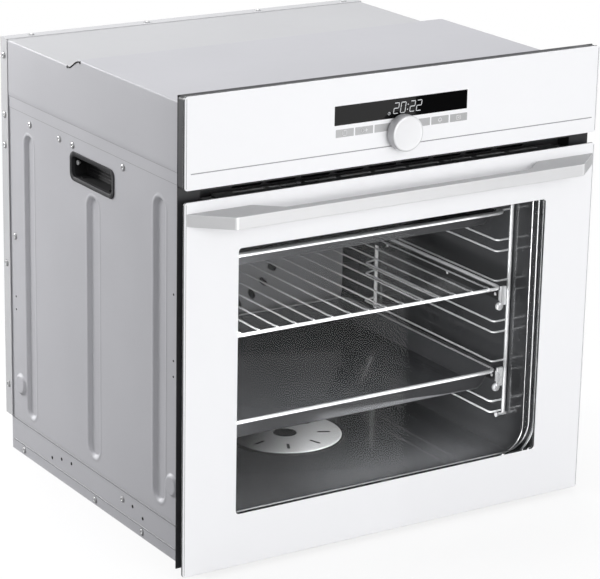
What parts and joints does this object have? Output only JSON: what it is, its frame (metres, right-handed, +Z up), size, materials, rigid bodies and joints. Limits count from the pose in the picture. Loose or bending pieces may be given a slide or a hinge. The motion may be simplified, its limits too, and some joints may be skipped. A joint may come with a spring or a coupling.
{
  "type": "wall oven",
  "caption": "Built-in electric wall oven: white glass front, drop-down window door with bar handle, knob and touch controls, grey sheet casing, and a cavity with racks and a convection fan.",
  "frame": {"origin": "middle of the footprint (bounding box) at the underside of the base pan", "axes": "+X right seen from the front, +Y to the rear, +Z up; the glass front faces -Y"},
  "size_m": [0.595, 0.574, 0.595],
  "materials": {
    "galvanised_sheet": "grey painted sheet, satin",
    "zinc_screws": "zinc plated",
    "black_plastic": "fine grained",
    "frame_enamel": "satin black",
    "cavity_enamel": "gloss enamel with fine speckle",
    "gasket_rubber": "matt silicone",
    "glass_wool": "fibrous",
    "baffle_enamel": "grey enamel, semi-gloss",
    "element_steel": "heat darkened",
    "floor_steel": "turned with a circular grain",
    "chrome_wire": "bright chrome",
    "rail_steel": "bright rolled steel",
    "rail_dark": "blackened steel",
    "tray_enamel": "gloss enamel",
    "motor_steel": "plain steel",
    "lamp_ceramic": "unglazed ceramic look",
    "lamp_glass": "clear",
    "duct_sheet": "galvanised",
    "impeller_plastic": "moulded",
    "fan_steel": "pressed steel",
    "circuit_board": "green board",
    "encoder_plastic": "moulded",
    "display_black": "gloss black",
    "carrier_plastic": "fine grained",
    "white_glass": "white printed on the back, gloss",
    "clear_glass": "clear with a faint grey tint",
    "door_aluminium": "natural anodised",
    "handle_aluminium": "fine brushed, pale",
    "knob_metal": "satin anodised",
    "hinge_steel": "zinc plated"
  },
  "bodies": {
    "oven_body": {"base_pan": "galvanised_sheet", "side_panel_left": "galvanised_sheet", "side_panel_right": "galvanised_sheet", "top_cover": "galvanised_sheet", "rear_cover": "galvanised_sheet", "casing_screws": "zinc_screws", "baffle_screws": "zinc_screws", "cable_gland": "black_plastic", "carry_grips": "black_plastic", "terminal_block": "black_plastic", "front_frame": "frame_enamel", "cavity_shell": "cavity_enamel", "door_gasket": "gasket_rubber", "insulation_blanket": "glass_wool", "fan_baffle": "baffle_enamel", "ring_element": "element_steel", "grill_element": "element_steel", "bottom_element": "element_steel", "floor_disc": "floor_steel", "side_racks": "chrome_wire", "rack_studs": "chrome_wire", "rails_upper_fixed": "rail_dark", "rails_lower_fixed": "rail_dark", "convection_motor": "motor_steel", "cooling_motor": "motor_steel", "thermostat_probe": "motor_steel", "lamp_socket": "lamp_ceramic", "lamp_lens": "lamp_glass", "air_duct": "duct_sheet", "blower_housing": "duct_sheet", "control_board": "circuit_board", "touch_strip": "circuit_board", "encoder_body": "encoder_plastic", "display_module": "display_black", "control_carrier": "carrier_plastic", "control_glass": "white_glass", "hinge_arms": "hinge_steel", "hinge_receivers": "hinge_steel"},
    "door": {"door_outer_glass": "white_glass", "door_middle_glass": "clear_glass", "door_inner_glass": "clear_glass", "door_side_profiles": "door_aluminium", "door_top_trim": "door_aluminium", "door_bottom_trim": "door_aluminium", "door_handle": "handle_aluminium", "handle_screws": "zinc_screws", "hinge_leaves": "hinge_steel", "hinge_pins": "hinge_steel"},
    "upper_rail_middle": {"rails_upper_middle": "rail_dark"},
    "upper_carriage": {"rails_upper_slide": "rail_steel", "wire_shelf": "chrome_wire"},
    "lower_rail_middle": {"rails_lower_middle": "rail_dark"},
    "lower_carriage": {"rails_lower_slide": "rail_steel", "baking_tray": "tray_enamel"},
    "top_tray": {"shallow_tray": "tray_enamel"},
    "knob_push": {"encoder_plunger": "encoder_plastic"},
    "knob": {"control_knob": "knob_metal", "encoder_shaft": "hinge_steel"},
    "convection_wheel": {"convection_fan": "fan_steel"},
    "blower_wheel": {"cooling_impeller": "impeller_plastic"}
  },
  "joints": [
    {"name": "door_hinge", "type": "hinge", "parent": "oven_body", "child": "door", "pos_m": [0, -0.239, 0.012], "axis": [1, 0, 0], "range_deg": [0, 90], "stiffness_Nm_per_rad": 8, "springref_deg": -20.05},
    {"name": "upper_rail_extend", "type": "slide", "parent": "oven_body", "child": "upper_rail_middle", "axis": [0, -1, 0], "range_m": [0, 0.181]},
    {"name": "shelf_slide", "type": "slide", "parent": "oven_body", "child": "upper_carriage", "axis": [0, -1, 0], "range_m": [0, 0.3605]},
    {"name": "lower_rail_extend", "type": "slide", "parent": "oven_body", "child": "lower_rail_middle", "axis": [0, -1, 0], "range_m": [0, 0.087]},
    {"name": "baking_tray_slide", "type": "slide", "parent": "oven_body", "child": "lower_carriage", "axis": [0, -1, 0], "range_m": [0, 0.173]},
    {"name": "top_tray_slide", "type": "slide", "parent": "oven_body", "child": "top_tray", "axis": [0, -1, 0], "range_m": [0, 0.2]},
    {"name": "knob_press", "type": "slide", "parent": "oven_body", "child": "knob_push", "axis": [0, 1, 0], "range_m": [0, 0.0012], "stiffness_N_per_m": 600, "springref_m": -0.001},
    {"name": "knob_turn", "type": "hinge", "parent": "knob_push", "child": "knob", "pos_m": [0, -0.248, 0.5205], "axis": [0, 1, 0], "continuous": true},
    {"name": "convection_fan_spin", "type": "hinge", "parent": "oven_body", "child": "convection_wheel", "pos_m": [0, 0.212, 0.278], "axis": [0, 1, 0], "continuous": true},
    {"name": "blower_spin", "type": "hinge", "parent": "oven_body", "child": "blower_wheel", "pos_m": [0, 0.137, 0.48], "axis": [0, 0, 1], "continuous": true}
  ],
  "couplings": [
    {"joint": "upper_rail_extend", "follows": "door_hinge", "m_per_rad": 0.1146},
    {"joint": "shelf_slide", "follows": "door_hinge", "m_per_rad": 0.2292},
    {"joint": "lower_rail_extend", "follows": "door_hinge", "m_per_rad": 0.055},
    {"joint": "baking_tray_slide", "follows": "door_hinge", "m_per_rad": 0.11},
    {"joint": "top_tray_slide", "follows": "door_hinge", "m_per_rad": 0.127}
  ]
}
